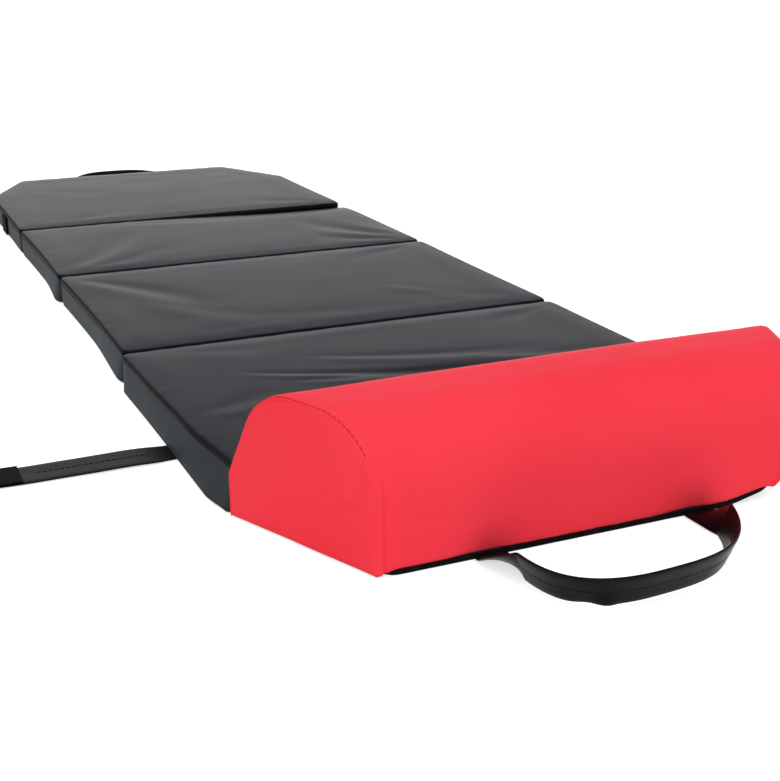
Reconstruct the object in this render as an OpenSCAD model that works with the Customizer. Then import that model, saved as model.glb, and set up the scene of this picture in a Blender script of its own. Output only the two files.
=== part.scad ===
// Folding padded mat with a wedge headrest, for lying under a vehicle.
// Four boxed pads are joined by cloth hinges and fold into a pack behind and over the headrest.
// +Y runs from the headrest to the foot end, +Z is up, and the floor is z = 0.

/* [Mat] */
// Width of the mat
mat_w = 400; // [320:5:480]
// Thickness of a pad at the middle of its crown
pad_t = 32; // [24:0.5:44]
// How far the crown stands above the pad's edge
pad_crown = 2; // [0.5:0.25:4]
// How far a pad's long sides draw in between its corners
side_draw = 1.5; // [0:0.25:4]
// Radius of a pad's corners in plan
corner_r = 7; // [3:0.5:14]
// Radius of the edge where the top sheet turns down
top_edge_r = 3.5; // [2:0.25:6]
// Radius of the edge where the base sheet turns up
base_edge_r = 3; // [2:0.25:6]
// Thickness of the coated cloth
cloth_t = 1.2; // [0.8:0.1:2]

/* [Pads] */
// Length of the shoulder pad, from the headrest to its seam
shoulder_len = 282; // [220:1:340]
// Length of the back pad, from seam to seam
back_len = 280; // [200:1:282]
// Length of the hip pad, from seam to seam
hip_len = 240; // [180:1:300]
// Length of the leg pad, from its seam to the foot end
leg_len = 332; // [260:1:340]
// Gap between two pads at a cloth hinge
seam_gap = 4; // [3:0.5:8]
// Length of the cut-off corners at the foot end
foot_cut_l = 110; // [60:1:140]
// Width of the cut-off corners at the foot end
foot_cut_w = 55; // [30:1:80]

/* [Headrest] */
// Depth of the headrest, front to back
rest_d = 118; // [90:1:150]
// Height of the headrest at its ends
rest_h = 94; // [70:1:95]
// Height of its upright back wall, behind the shoulder pad
rest_back_h = 31; // [22:0.5:33]
// Radius of the rounded back
rest_back_r = 40; // [28:1:44]
// Radius of the rounded front
rest_front_r = 44; // [28:1:48]
// How much narrower each end is at the front than at the back
rest_taper = 50; // [0:1:80]
// How far the cover bulges between its ends
rest_crown = 1.8; // [0.5:0.1:2.5]
// Height of the black binding round its foot
binding_h = 5; // [3:0.5:10]

/* [Handles] */
// Width of the handle band
band_w = 22; // [18:1:32]
// Thickness of the folded handle band
band_t = 2.4; // [1.5:0.1:4]
// Distance between a handle's two ends
handle_span = 150; // [110:1:180]
// How far a handle reaches beyond the mat
handle_reach = 88; // [60:1:110]
// Length over which the band turns up from flat to leaning
band_twist_l = 36; // [32:1:60]
// Lean of the band from flat, headrest handle
rest_handle_lean = 68; // [20:1:88]
// Lean of the band from flat, foot handle
foot_handle_lean = 68; // [20:1:88]

/* [Closing straps] */
// Width of a strap
strap_w = 32; // [20:1:45]
// Thickness of a strap
strap_t = 2; // [1.5:0.1:3]
// Free length of a strap
strap_l = 155; // [140:1:180]
// Length of the hook pad at the strap's free end
hook_l = 48; // [30:1:60]
// Thickness of the hook pad
hook_t = 1.2; // [0.8:0.1:2]
// Thickness of the loop patch on the leg pad
loop_t = 1.5; // [0.8:0.1:2]
// Distance from the headrest to the middle of a strap
strap_y = 121; // [60:1:200]

/* [Hidden] */

VINYL = [0.20, 0.20, 0.21];
VINYL_TOP = [0.30, 0.30, 0.31];
WEBBING = [0.13, 0.13, 0.14];
FOAM = [0.93, 0.86, 0.62];
RED = [0.95, 0.23, 0.28];
HOOK = [0.08, 0.08, 0.08];

clear = 0.3;                // air between pieces that move past each other
arc_steps = 3;              // points on a rounded corner
side_steps = 8;             // points along a long side
long_side = 60;             // a side longer than this is split
min_r = 0.4;                // least corner radius of an inset outline
crown_rings = [0.94, 0.8, 0.6, 0.35];

// places along the mat, measured from its middle
mat_len = rest_d + shoulder_len + back_len + hip_len + leg_len;
front_y = -mat_len / 2;
rest_y = front_y + rest_d;              // back face of the headrest
seam_1 = rest_y + shoulder_len;         // shoulder pad to back pad
seam_2 = seam_1 + back_len;             // back pad to hip pad
seam_3 = seam_2 + hip_len;              // hip pad to leg pad
foot_y = seam_3 + leg_len;
edge_z = pad_t - pad_crown;             // height of a pad's top edge
cover_z = edge_z - top_edge_r;          // seam between the top sheet and the side band
// the folded leg pad lies upside down, so its sides land at the strap's place
patch_y = 2 * (seam_1 - seam_2 + seam_3) - (rest_y + strap_y);

tape_t = 0.8;
tape_short = 0.7;                       // the tape stays inside the circle that the pad's edge sweeps
tape_half = seam_gap / 2 - tape_short;
rest_flat = 20;                         // flat length on top of the headrest, between its two arcs
rest_back_c = rest_d - rest_front_r - rest_flat; // centre of the back arc, from the back wall
rest_steps = 7;                         // points on each of the two arcs
bulge_power = 3;                        // how squarely the cover's bulge ends at its end seams
join_gap = 0.6;                         // between the headrest's back and the shoulder pad
binding_out = 1;                        // how far the binding stands proud
hinge_r = strap_t / 2;
strap_x = mat_w / 2 + loop_t + clear + hook_t + strap_t - hinge_r;  // pivot line of a strap
strap_root_z = 12;                      // height of the stitched flange of a strap
patch_l = 30;
patch_h = 21;
handle_stations = 44;
handle_a = handle_span / 2;
handle_square = 0.7;                    // below 1, the loop's sides run straighter
handle_round = 0.8;                     // below 1, the loop's far side is flatter
handle_crowd = 0.1;                     // the stations crowd towards the ends, where the band twists
handle_step = 0.004;                    // share of the loop over which its direction is taken
flat_rise = 0.02;                       // below this share of its lean the band points straight out
tab_out = 4;                            // how far a handle's tab comes out
rest_pivot_y = front_y - binding_out - tab_out;
foot_pivot_y = foot_y + tab_out;        // a handle turns on the upper edge of its end

// ---------- plan outlines ----------

function unit(v) = v / norm(v);
function inward(a, b) = let (d = unit(b - a)) [-d[1], d[0]];

// corner k of a counter-clockwise outline, moved in from both its sides
function shifted(c, k, inset) =
    let (n = len(c), n1 = inward(c[(k + n - 1) % n], c[k]), n2 = inward(c[k], c[(k + 1) % n]))
    c[k] + inset * (n1 + n2) / (1 + n1 * n2);

// the same outline with its corners rounded
function rounded(c, inset, r) = [
    for (k = [0 : len(c) - 1])
        let (n = len(c), n1 = inward(c[(k + n - 1) % n], c[k]), n2 = inward(c[k], c[(k + 1) % n]),
             mid = shifted(c, k, r), turn = acos(n1 * n2), rr = max(r - inset, min_r))
        for (j = [0 : arc_steps])
            let (f = j / arc_steps, v = (sin(turn * (1 - f)) * n1 + sin(turn * f) * n2) / sin(turn))
            mid - rr * v
];

// points along the long sides, so that these can draw in
function split_sides(p) = [
    for (k = [0 : len(p) - 1])
        let (a = p[k], b = p[(k + 1) % len(p)], m = norm(b - a) > long_side ? side_steps : 1)
        for (j = [0 : m - 1]) a + (b - a) * j / m
];

function draw_in(p, y0, y1) = [
    for (q = p) let (s = (q[1] - y0) / (y1 - y0), k = 4 * s * (1 - s))
        [q[0] * (1 - 2 * side_draw * max(k, 0) / mat_w), q[1]]
];

function pad_corners(y0, y1, cut_w, cut_l) = cut_w > 0
    ? [[-mat_w / 2, y0], [mat_w / 2, y0], [mat_w / 2, y1 - cut_l], [mat_w / 2 - cut_w, y1],
       [-mat_w / 2 + cut_w, y1], [-mat_w / 2, y1 - cut_l]]
    : [[-mat_w / 2, y0], [mat_w / 2, y0], [mat_w / 2, y1], [-mat_w / 2, y1]];

// each pad is [near edge, far edge, corner cut width, corner cut length]
SHOULDER = [rest_y + join_gap, seam_1 - seam_gap / 2, 0, 0];
BACK = [seam_1 + seam_gap / 2, seam_2 - seam_gap / 2, 0, 0];
HIP = [seam_2 + seam_gap / 2, seam_3 - seam_gap / 2, 0, 0];
LEG = [seam_3 + seam_gap / 2, foot_y, foot_cut_w, foot_cut_l];

function pad_outline(p, inset) =
    draw_in(split_sides(rounded(pad_corners(p[0], p[1], p[2], p[3]), inset, corner_r)), p[0], p[1]);
function lifted(outline, z) = [for (q = outline) [q[0], q[1], z]];
function toward(outline, c, f) = [for (q = outline) c + f * (q - c)];

// ---------- skins made of rings ----------

// a closed solid from rings of equal length, capped by a fan at each end
module ring_solid(rings, first, last) {
    n = len(rings[0]);
    m = len(rings);
    points = concat([first], [for (r = rings) for (q = r) q], [last]);
    faces = concat(
        [for (j = [0 : n - 1]) [0, 1 + j, 1 + (j + 1) % n]],
        [for (i = [0 : m - 2]) for (j = [0 : n - 1]) let (a = 1 + i * n, b = a + n, k = (j + 1) % n)
            each [[a + j, b + j, b + k], [a + j, b + k, a + k]]],
        [for (j = [0 : n - 1]) [1 + m * n, 1 + (m - 1) * n + (j + 1) % n, 1 + (m - 1) * n + j]]
    );
    polyhedron(points = points, faces = faces);
}

// crowned top sheet, turned down at its edge; flat inside, where it lies on the foam
module pad_cover(p) {
    mid = [0, (p[0] + p[1]) / 2];
    rim = pad_outline(p, top_edge_r);
    rings = concat(
        [lifted(pad_outline(p, top_edge_r), edge_z - cloth_t)],
        [lifted(pad_outline(p, cloth_t), cover_z)],
        [for (a = [0, 30, 60]) lifted(pad_outline(p, top_edge_r * (1 - cos(a))), cover_z + top_edge_r * sin(a))],
        [lifted(rim, edge_z)],
        [for (f = crown_rings) lifted(toward(rim, mid, f), edge_z + pad_crown * (1 - f * f))]
    );
    ring_solid(rings, [mid[0], mid[1], edge_z - cloth_t], [mid[0], mid[1], pad_t]);
}

// base sheet with its edge turned up to the side band
module pad_base(p) {
    mid = [0, (p[0] + p[1]) / 2];
    rings = concat(
        [for (a = [90, 60, 30, 0]) lifted(pad_outline(p, base_edge_r * (1 - cos(a))), base_edge_r * (1 - sin(a)))],
        [lifted(pad_outline(p, cloth_t), base_edge_r)],
        [lifted(pad_outline(p, base_edge_r), cloth_t)]
    );
    ring_solid(rings, [mid[0], mid[1], 0], [mid[0], mid[1], cloth_t]);
}

// side band round the pad, between the base sheet and the top sheet
module pad_band(p) {
    translate([0, 0, base_edge_r])
        linear_extrude(cover_z - base_edge_r)
            difference() {
                polygon(pad_outline(p, 0));
                polygon(pad_outline(p, cloth_t));
            }
}

module foam_slab(p, inset, z0, z1) {
    translate([0, 0, z0])
        linear_extrude(z1 - z0)
            polygon(pad_outline(p, inset));
}

// foam block, with its edges trimmed to fit inside the turned edges of the sheets
module pad_foam(p) {
    foam_slab(p, base_edge_r, cloth_t, base_edge_r);
    foam_slab(p, cloth_t, base_edge_r, cover_z);
    foam_slab(p, top_edge_r, cover_z, edge_z - cloth_t);
}

module shoulder_cover() { color(VINYL_TOP) pad_cover(SHOULDER); }
module shoulder_band() { color(VINYL) pad_band(SHOULDER); }
module shoulder_base() { color(VINYL) pad_base(SHOULDER); }
module shoulder_foam() { color(FOAM) pad_foam(SHOULDER); }
module back_cover() { color(VINYL_TOP) pad_cover(BACK); }
module back_band() { color(VINYL) pad_band(BACK); }
module back_base() { color(VINYL) pad_base(BACK); }
module back_foam() { color(FOAM) pad_foam(BACK); }
module hip_cover() { color(VINYL_TOP) pad_cover(HIP); }
module hip_band() { color(VINYL) pad_band(HIP); }
module hip_base() { color(VINYL) pad_base(HIP); }
module hip_foam() { color(FOAM) pad_foam(HIP); }
module leg_cover() { color(VINYL_TOP) pad_cover(LEG); }
module leg_band() { color(VINYL) pad_band(LEG); }
module leg_base() { color(VINYL) pad_base(LEG); }
module leg_foam() { color(FOAM) pad_foam(LEG); }

// ---------- cloth hinges ----------

// strip along a seam, on the side where the two pads stay together
module hinge_tape(y, z) {
    translate([-mat_w / 2 + corner_r, y - seam_gap / 2, z])
        cube([mat_w - 2 * corner_r, seam_gap / 2 + tape_half, tape_t]);
}

module shoulder_hinge_tape() { color(VINYL) hinge_tape(seam_1, cover_z - tape_t); }
module back_hinge_tape() { color(VINYL) hinge_tape(seam_2, base_edge_r); }
module hip_hinge_tape() { color(VINYL) hinge_tape(seam_3, cover_z - tape_t); }

module headrest_seam_tape() {
    color(VINYL)
        translate([-mat_w / 2 + corner_r, rest_y, base_edge_r])
            cube([mat_w - 2 * corner_r, join_gap, cover_z - base_edge_r]);
}

// ---------- headrest ----------

// direction from the back arc's centre to where the straight slope meets it
function back_tangent() =
    let (v = [-rest_back_c, rest_back_h - rest_h + rest_back_r])
    atan2(v[1], -v[0]) + acos(rest_back_r / norm(v));

// side profile, from the foot of the back wall over the top to the foot of the front wall;
// points are [distance in front of the back wall, height], and a negative inset bulges it
function rest_profile(inset, z0) =
    let (t = back_tangent())
    concat(
        [[max(inset, 0), z0]],
        [[max(inset, 0), rest_back_h]],
        [for (k = [0 : rest_steps]) let (a = t + (90 - t) * k / rest_steps)
            [rest_back_c - (rest_back_r - inset) * cos(a), rest_h - rest_back_r + (rest_back_r - inset) * sin(a)]],
        [for (k = [0 : rest_steps]) let (a = 90 * (1 - k / rest_steps))
            [rest_d - rest_front_r + (rest_front_r - inset) * cos(a),
             rest_h - rest_front_r + (rest_front_r - inset) * sin(a)]],
        [[rest_d - inset, z0]]
    );

function rest_half(d) = mat_w / 2 - rest_taper * d / rest_d;   // half width at a distance in front of the back wall

rest_stations = [-1, -0.97, -0.9, -0.78, -0.6, -0.35, 0, 0.35, 0.6, 0.78, 0.9, 0.97, 1];

// one cross-section of the cover: the outer line, then the inner line back
function rest_section(s) =
    let (bulge = rest_crown * (1 - pow(abs(s), bulge_power)),
         outer = rest_profile(-bulge, binding_h), inner = rest_profile(cloth_t, binding_h), n = len(inner))
    [for (q = concat(outer, [for (k = [n - 1 : -1 : 0]) inner[k]]))
        [s * (rest_half(q[0]) - cloth_t), rest_y - q[0], q[1]]];

// wrap of the headrest: back wall, rounded top and front wall in one sheet
module rest_wrap() {
    n = len(rest_section(0));
    h = n / 2;
    m = len(rest_stations);
    points = [for (s = rest_stations) for (q = rest_section(s)) q];
    faces = concat(
        [for (j = [0 : h - 2]) each [[j, j + 1, n - 2 - j], [j, n - 2 - j, n - 1 - j]]],
        [for (i = [0 : m - 2]) for (j = [0 : n - 1]) let (a = i * n, b = a + n, k = (j + 1) % n)
            each [[a + j, b + j, b + k], [a + j, b + k, a + k]]],
        [for (j = [0 : h - 2]) let (o = (m - 1) * n)
            each [[o + j, o + n - 2 - j, o + j + 1], [o + j, o + n - 1 - j, o + n - 2 - j]]]
    );
    polyhedron(points = points, faces = faces);
}

// solid with the headrest's side profile, from z0 up, cut to its tapering ends
module rest_block(inset, z0, end_inset) {
    intersection() {
        translate([-mat_w / 2, rest_y, 0])
            rotate([90, 0, 90])
                linear_extrude(mat_w)
                    polygon([for (q = rest_profile(inset, z0)) [-q[0], q[1]]]);
        linear_extrude(rest_h)
            polygon(rest_plan(end_inset, 0));
    }
}

// plan of the headrest with its slanted ends moved in, and its front moved out
function rest_plan(end_inset, front_out) = [
    [-rest_half(0) + end_inset, rest_y], [-rest_half(rest_d + front_out) + end_inset, front_y - front_out],
    [rest_half(rest_d + front_out) - end_inset, front_y - front_out], [rest_half(0) - end_inset, rest_y]
];

module rest_end(side) {
    intersection() {
        rest_block(0, binding_h, 0);
        linear_extrude(rest_h)
            polygon([[side * rest_half(0), rest_y], [side * (rest_half(0) - cloth_t), rest_y],
                     [side * (rest_half(rest_d) - cloth_t), front_y], [side * rest_half(rest_d), front_y]]);
    }
}

// the two places where the headrest handle's ends leave the headrest
module tab_pair(y0, y1) {
    for (side = [-1, 1])
        translate([side * handle_a - band_w / 2, y0, clear])
            cube([band_w, y1 - y0, band_t]);
}

module headrest_cover() { color(RED) rest_wrap(); }
module headrest_left_end() { color(RED) rest_end(-1); }
module headrest_right_end() { color(RED) rest_end(1); }
module headrest_foam() { color(FOAM) rest_block(cloth_t, cloth_t, cloth_t); }

module headrest_base() {
    color(VINYL)
        linear_extrude(cloth_t)
            polygon(rest_plan(cloth_t, -cloth_t));
}

module headrest_binding() {
    color(WEBBING)
        difference() {
            linear_extrude(binding_h)
                difference() {
                    polygon(rest_plan(-binding_out, binding_out));
                    polygon(rest_plan(cloth_t, -cloth_t));
                }
            tab_pair(front_y - 2 * binding_out, front_y + 2 * cloth_t);
        }
}

// ---------- handles ----------

// loop of folded band from one end to the other: u runs from 0 to 1
function loop_x(u) = let (c = cos(180 * u)) -handle_a * sign(c) * pow(abs(c), handle_square);
function loop_y(u, reach) = reach * pow(sin(180 * u), handle_round);

function loop_normal(u, reach) =
    let (a = max(u - handle_step, 0), b = min(u + handle_step, 1))
    unit([-(loop_y(b, reach) - loop_y(a, reach)), loop_x(b) - loop_x(a)]);

// corners of the band's section, which lies flat at the ends and leans up along the loop
function band_section(u, reach, lean) =
    let (y = loop_y(u, reach),
         rise = min(1, y / band_twist_l), phi = asin(sin(lean) * rise),
         n = rise < flat_rise ? [loop_x(u) > 0 ? 1 : -1, 0] : loop_normal(u, reach),
         w = [cos(phi) * n[0], cos(phi) * n[1], sin(phi)] * band_w / 2,
         t = [-sin(phi) * n[0], -sin(phi) * n[1], cos(phi)] * band_t / 2,
         c = [loop_x(u), y, clear + sin(phi) * band_w / 2 + cos(phi) * band_t / 2])
    [c - w - t, c + w - t, c + w + t, c - w + t];

// far_reach is how far the outer edge of the leaning band comes
module handle_loop(far_reach, lean) {
    m = handle_stations;
    reach = far_reach - cos(lean) * band_w / 2 - sin(lean) * band_t / 2;
    us = [for (i = [0 : m]) let (f = i / m) f - handle_crowd * sin(360 * f)];
    points = [for (u = us) for (q = band_section(u, reach, lean)) q];
    faces = concat(
        [[3, 2, 1], [3, 1, 0]],
        [for (i = [0 : m - 1]) for (j = [0 : 3]) let (a = i * 4, b = a + 4, k = (j + 1) % 4)
            each [[a + j, a + k, b + k], [a + j, b + k, b + j]]],
        [[m * 4, m * 4 + 1, m * 4 + 2], [m * 4, m * 4 + 2, m * 4 + 3]]
    );
    polyhedron(points = points, faces = faces);
}

module headrest_handle() {
    color(WEBBING)
        translate([0, rest_pivot_y, 0])
            mirror([0, 1, 0])
                handle_loop(handle_reach - (front_y - rest_pivot_y), rest_handle_lean);
}

module headrest_handle_tabs() {
    color(WEBBING) tab_pair(rest_pivot_y + clear, front_y + cloth_t);
}

module foot_handle() {
    color(WEBBING)
        translate([0, foot_pivot_y, 0])
            handle_loop(handle_reach - (foot_pivot_y - foot_y), foot_handle_lean);
}

// stitched to the turned-up edge of the leg pad's base sheet
module foot_handle_tabs() {
    color(WEBBING)
        difference() {
            tab_pair(foot_y - base_edge_r, foot_pivot_y - clear);
            hull() pad_base(LEG);
        }
}

// ---------- closing straps ----------

// made for the left side, and mirrored for the right
module strap(side) {
    mirror([side > 0 ? 1 : 0, 0, 0]) {
        translate([-strap_x - strap_l, rest_y + strap_y - strap_w / 2, 0])
            cube([strap_l, strap_w, strap_t]);
        translate([-strap_x, rest_y + strap_y, hinge_r])
            rotate([90, 0, 0])
                cylinder(h = strap_w, r = hinge_r, center = true, $fn = 32);
    }
}

module hook_pad(side) {
    mirror([side > 0 ? 1 : 0, 0, 0])
        translate([-strap_x - strap_l, rest_y + strap_y - strap_w / 2, strap_t])
            cube([hook_l, strap_w, hook_t]);
}

// flange stitched to the side band, with the foot that the strap pivots on
module strap_tab(side) {
    mirror([side > 0 ? 1 : 0, 0, 0])
        difference() {
            translate([0, rest_y + strap_y - strap_w / 2, 0]) {
                translate([-mat_w / 2 - cloth_t, 0, base_edge_r])
                    cube([cloth_t + side_draw, strap_w, strap_root_z]);
                translate([-strap_x + hinge_r + clear, 0, 0])
                    cube([strap_x - hinge_r - clear - mat_w / 2, strap_w, strap_t]);
                translate([-mat_w / 2 - cloth_t, 0, 0])
                    cube([cloth_t, strap_w, base_edge_r + clear]);
            }
            linear_extrude(pad_t)
                polygon(pad_outline(SHOULDER, 0));
        }
}

module loop_patch(side) {
    mirror([side > 0 ? 1 : 0, 0, 0])
        difference() {
            translate([-mat_w / 2 - loop_t, patch_y - patch_l / 2, base_edge_r])
                cube([loop_t + side_draw, patch_l, patch_h]);
            linear_extrude(pad_t)
                polygon(pad_outline(LEG, 0));
        }
}

module left_strap() { color(WEBBING) strap(-1); }
module left_hook_pad() { color(HOOK) hook_pad(-1); }
module left_strap_tab() { color(WEBBING) strap_tab(-1); }
module left_loop_patch() { color(HOOK) loop_patch(-1); }
module right_strap() { color(WEBBING) strap(1); }
module right_hook_pad() { color(HOOK) hook_pad(1); }
module right_strap_tab() { color(WEBBING) strap_tab(1); }
module right_loop_patch() { color(HOOK) loop_patch(1); }

shoulder_cover();
shoulder_band();
shoulder_base();
shoulder_foam();
back_cover();
back_band();
back_base();
back_foam();
hip_cover();
hip_band();
hip_base();
hip_foam();
leg_cover();
leg_band();
leg_base();
leg_foam();
headrest_cover();
headrest_left_end();
headrest_right_end();
headrest_foam();
headrest_base();
headrest_binding();
shoulder_hinge_tape();
back_hinge_tape();
hip_hinge_tape();
headrest_seam_tape();
headrest_handle();
headrest_handle_tabs();
foot_handle();
foot_handle_tabs();
left_strap();
left_hook_pad();
left_strap_tab();
left_loop_patch();
right_strap();
right_hook_pad();
right_strap_tab();
right_loop_patch();
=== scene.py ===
# %% [markdown]
# A folding creeper mat: four boxed foam pads in black coated cloth, joined by cloth hinges,
# with a red half-round headrest, two carry loops and two closing straps. The construction is loaded
# as a fixed frame, and this lesson sews a cover of real thickness, seams and wrinkles round it.

# %% Load the frame
import math

import bmesh
import bpy
from mathutils import Matrix, Vector, noise


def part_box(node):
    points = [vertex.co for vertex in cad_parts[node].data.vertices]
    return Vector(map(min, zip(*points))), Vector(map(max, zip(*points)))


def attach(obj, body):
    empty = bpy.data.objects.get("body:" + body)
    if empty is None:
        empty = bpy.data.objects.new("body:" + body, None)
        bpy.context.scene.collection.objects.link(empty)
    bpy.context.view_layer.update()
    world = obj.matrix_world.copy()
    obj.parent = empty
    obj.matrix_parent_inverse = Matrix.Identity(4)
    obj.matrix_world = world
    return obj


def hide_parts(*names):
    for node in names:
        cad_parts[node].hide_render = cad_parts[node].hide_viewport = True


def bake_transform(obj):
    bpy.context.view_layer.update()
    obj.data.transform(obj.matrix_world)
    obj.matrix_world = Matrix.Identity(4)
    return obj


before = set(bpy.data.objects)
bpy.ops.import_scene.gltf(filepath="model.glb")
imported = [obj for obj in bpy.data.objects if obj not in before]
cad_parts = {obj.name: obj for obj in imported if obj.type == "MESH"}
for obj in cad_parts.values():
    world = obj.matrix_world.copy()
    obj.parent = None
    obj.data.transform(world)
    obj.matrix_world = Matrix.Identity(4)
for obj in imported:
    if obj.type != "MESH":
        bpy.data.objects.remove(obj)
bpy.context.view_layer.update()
scene = bpy.context.scene
scene.view_settings.view_transform = "Standard"
MM = 0.001
PADS = {"shoulder": "mat_head", "back": "back_pad", "hip": "hip_pad", "leg": "leg_pad"}     # and their bodies
SIDES = {-1: "left", 1: "right"}

# %% [markdown]
# The camera comes first, because everything is judged from where it stands. A photograph of a flat
# rectangle fixes the camera completely: its two vanishing points give the turn, the tilt and the
# lens. These numbers come from such a fit to the mat's corners, so they are real metres and degrees.

# %% Camera
CAMERA_PLACE = (-0.4165, -1.2497, 0.3497)
CAMERA_TURN = math.radians(23.95)       # to the right of straight along the mat
CAMERA_TILT = math.radians(19.07)       # below the horizon
CAMERA_ROLL = math.radians(-0.16)
LENS_MM = 60.45                         # on Blender's 36 mm sensor

camera_data = bpy.data.cameras.new("camera")
camera_data.lens = LENS_MM
camera_data.sensor_width = 36.0
camera_data.clip_end = 50.0
camera = bpy.data.objects.new("camera", camera_data)
camera.location = CAMERA_PLACE
look = Matrix.Rotation(-CAMERA_TURN, 4, "Z") @ Matrix.Rotation(math.pi / 2 - CAMERA_TILT, 4, "X")
camera.rotation_euler = (look @ Matrix.Rotation(CAMERA_ROLL, 4, "Z")).to_euler()
scene.collection.objects.link(camera)
scene.camera = camera
print("camera at", CAMERA_PLACE, "lens", LENS_MM)

# %% [markdown]
# Materials. One function turns the hex colours that a designer writes into the linear numbers that
# Blender mixes with, and one small function adds a node with its settings and links. Every pattern
# below is sized in real millimetres, so the grain stays the same on a big pad and on a small tab.

# %% Colour and node helpers
def colour(hex_code):
    values = [int(hex_code[i:i + 2], 16) / 255 for i in (1, 3, 5)]
    linear = [v / 12.92 if v <= 0.04045 else ((v + 0.055) / 1.055) ** 2.4 for v in values]
    return (*linear, 1.0)


def add_node(tree, kind, settings=None, **links):
    """Adds one node. settings go to its own properties or, by socket name, to its inputs."""
    node = tree.nodes.new(kind)
    for name, value in (settings or {}).items():
        if name in node.inputs:
            node.inputs[name].default_value = value
        else:
            setattr(node, name, value)
    for name, source in links.items():
        tree.links.new(source, node.inputs[name.replace("_", " ")])
    return node


def new_material(name, base, roughness, **sockets):
    material = bpy.data.materials.new(name)
    material.use_nodes = True
    tree = material.node_tree
    shader = tree.nodes["Principled BSDF"]
    shader.inputs["Base Color"].default_value = colour(base)
    shader.inputs["Roughness"].default_value = roughness
    for socket, value in sockets.items():
        shader.inputs[socket.replace("_", " ")].default_value = value
    place = add_node(tree, "ShaderNodeTexCoord").outputs["Object"]
    return material, tree, shader, place


def per_metre(size_mm):
    """Texture scale that gives features about size_mm apart on Object coordinates."""
    return 1000.0 / size_mm


def paint(tree, shader, source, low, high, dark, light):
    """Colours the shader from dark to light as the source goes from low to high."""
    node = add_node(tree, "ShaderNodeValToRGB", Fac=source)
    for element, position, tint in zip(node.color_ramp.elements, (low, high), (dark, light)):
        element.position = position
        element.color = colour(tint)
    tree.links.new(node.outputs["Color"], shader.inputs["Base Color"])


def bump(tree, shader, layers):
    """Stacks bumps: each layer is (height socket, depth in mm)."""
    links = {}
    for height, depth in layers:
        node = add_node(tree, "ShaderNodeBump", {"Distance": depth * MM, "Strength": 1.0},
                        Height=height, **links)
        links = {"Normal": node.outputs["Normal"]}
    tree.links.new(links["Normal"], shader.inputs["Normal"])


# %% [markdown]
# The black and the red cloth are the same stuff: polyester cloth with a soft PVC coat, calendered and
# then embossed with a fine leather grain. The coat gives a broad satin shine that turns pale at a
# grazing view, and the grain breaks it up. The photo shows no separate pebbles, so the grain is shallow.

# %% Coated cloth
GRAIN_MM = 1.5          # width of one embossed pebble
GRAIN_DEPTH_MM = 0.018
SKIN_MM = 0.6           # the coat's own fine unevenness
SKIN_SHARE = 0.3        # its depth, as a share of the grain's
HANDLING_MM = 70.0      # soft cloudy marks from handling


def coated_cloth(name, base, cloud, roughness, grain_depth=GRAIN_DEPTH_MM, **sockets):
    material, tree, shader, place = new_material(name, base, roughness, **sockets)
    pebbles = add_node(tree, "ShaderNodeTexVoronoi", {"Scale": per_metre(GRAIN_MM), "feature": "SMOOTH_F1"},
                       Vector=place).outputs["Distance"]
    skin = add_node(tree, "ShaderNodeTexNoise", {"Scale": per_metre(SKIN_MM), "Detail": 2.0},
                    Vector=place).outputs["Fac"]
    clouds = add_node(tree, "ShaderNodeTexNoise", {"Scale": per_metre(HANDLING_MM), "Detail": 3.0},
                      Vector=place).outputs["Fac"]
    paint(tree, shader, clouds, 0.3, 0.7, base, cloud)
    shine = add_node(tree, "ShaderNodeMapRange", {"To Min": roughness - 0.04, "To Max": roughness + 0.05},
                     Value=clouds).outputs["Result"]
    tree.links.new(shine, shader.inputs["Roughness"])
    bump(tree, shader, [(pebbles, grain_depth), (skin, grain_depth * SKIN_SHARE)])
    return material


black_vinyl = coated_cloth("coated_cloth_black_top", "#0F0F1B", "#13131F", 0.24, IOR=1.12)
# The side copy is the same black cloth as the top, painted lighter and greener than the top copy: painted
# light on the upright sides and the base sheets.
side_vinyl_painted_light = coated_cloth("coated_cloth_black_side_painted_light", "#2A2F32", "#2F3438", 0.60, IOR=1.16)
red_vinyl = coated_cloth("coated_cloth_red", "#EC3946", "#EF3E4B", 0.40, IOR=1.06)
band_vinyl = coated_cloth("coated_cloth_black_band", "#08080A", "#0D0D0F", 0.30, grain_depth=0.02, IOR=1.15)
# The seam copy is the same black cloth painted near black: painted shade on the seam rolls, the hinge cloths
# and the headrest's join.
painted_shade_vinyl = coated_cloth("coated_cloth_black_painted_shade", "#050506", "#09090A", 0.65, grain_depth=0.02, IOR=1.15)
print("coated cloth:", black_vinyl.name, side_vinyl_painted_light.name, red_vinyl.name, band_vinyl.name, painted_shade_vinyl.name)

# %% [markdown]
# The rest of the finishes. Grosgrain binding tape has ribs across it a little over half a millimetre
# apart. Hook and loop tape is a felt of tiny loops that takes light softly. Sewing thread is
# bonded nylon, and the foam inside is open-celled polyurethane, cream and quite matte.

# %% Tape, hook and loop, thread and foam
def binding_tape(name, base, worn):
    material, tree, shader, place = new_material(name, base, 0.8, IOR=1.12)
    ribs = add_node(tree, "ShaderNodeTexWave", {"Scale": per_metre(0.7) / 6.28, "bands_direction": "X"},
                    Vector=place).outputs["Fac"]
    wear = add_node(tree, "ShaderNodeTexNoise", {"Scale": per_metre(9.0)}, Vector=place).outputs["Fac"]
    paint(tree, shader, wear, 0.35, 0.75, base, worn)
    bump(tree, shader, [(ribs, 0.05), (wear, 0.15)])
    return material


def felted_tape(name, base, light):
    material, tree, shader, place = new_material(name, base, 0.9, Sheen_Weight=0.03, Sheen_Roughness=0.6,
                                                 IOR=1.1)
    loops = add_node(tree, "ShaderNodeTexNoise", {"Scale": per_metre(0.9), "Detail": 3.0},
                     Vector=place).outputs["Fac"]
    paint(tree, shader, loops, 0.3, 0.8, base, light)
    bump(tree, shader, [(loops, 0.5)])
    return material


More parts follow.
